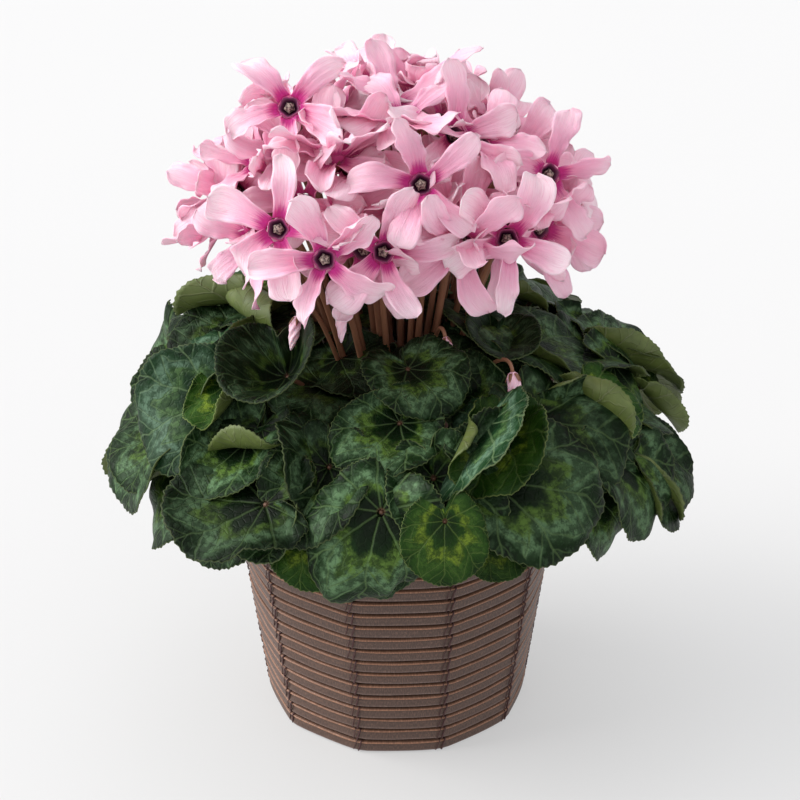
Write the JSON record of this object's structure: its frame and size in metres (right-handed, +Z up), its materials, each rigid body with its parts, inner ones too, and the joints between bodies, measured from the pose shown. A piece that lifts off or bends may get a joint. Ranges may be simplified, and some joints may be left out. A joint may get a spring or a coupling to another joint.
{
  "type": "potted cyclamen",
  "caption": "Flowering cyclamen with marbled heart-shaped leaves and pale pink flowers on tall stalks, in a growing pot inside a ten-sided stitched slat cover",
  "frame": {"origin": "centre of the slat cover's underside, on the floor", "axes": "+Z up along the pot's axis, -Y towards the front, +X to the right seen from the front"},
  "size_m": [0.3449, 0.3501, 0.4233],
  "materials": {
    "slat": "fibrous brown-grey slats with a tan bead along each top edge",
    "board": "plain unfinished board",
    "pot_plastic": "matt brown moulded plastic",
    "soil": "damp dark potting mix",
    "corm": "dry corky brown skin",
    "leaf": "satin dark green with a silver-green marbled band",
    "petal": "soft pale pink with a magenta eye"
  },
  "bodies": {
    "root": {"corm": "corm", "cover_board": "board", "flower_01": "petal", "flower_02": "petal", "flower_03": "petal", "flower_04": "petal", "flower_05": "petal", "flower_06": "petal", "flower_07": "petal", "flower_08": "petal", "flower_09": "petal", "flower_10": "petal", "flower_11": "petal", "flower_12": "petal", "flower_13": "petal", "flower_14": "petal", "flower_15": "petal", "flower_16": "petal", "flower_17": "petal", "flower_18": "petal", "flower_19": "petal", "flower_20": "petal", "flower_21": "petal", "growing_pot": "pot_plastic", "leaf_01": "leaf", "leaf_02": "leaf", "leaf_03": "leaf", "leaf_04": "leaf", "leaf_05": "leaf", "leaf_06": "leaf", "leaf_07": "leaf", "leaf_08": "leaf", "leaf_09": "leaf", "leaf_10": "leaf", "leaf_11": "leaf", "leaf_12": "leaf", "leaf_13": "leaf", "leaf_14": "leaf", "leaf_15": "leaf", "leaf_16": "leaf", "leaf_17": "leaf", "leaf_18": "leaf", "leaf_19": "leaf", "leaf_20": "leaf", "leaf_21": "leaf", "leaf_22": "leaf", "leaf_23": "leaf", "leaf_24": "leaf", "leaf_25": "leaf", "leaf_26": "leaf", "leaf_27": "leaf", "leaf_28": "leaf", "leaf_29": "leaf", "leaf_30": "leaf", "leaf_31": "leaf", "leaf_32": "leaf", "leaf_33": "leaf", "leaf_34": "leaf", "potting_soil": "soil", "slat_cover": "slat"}
  },
  "joints": []
}
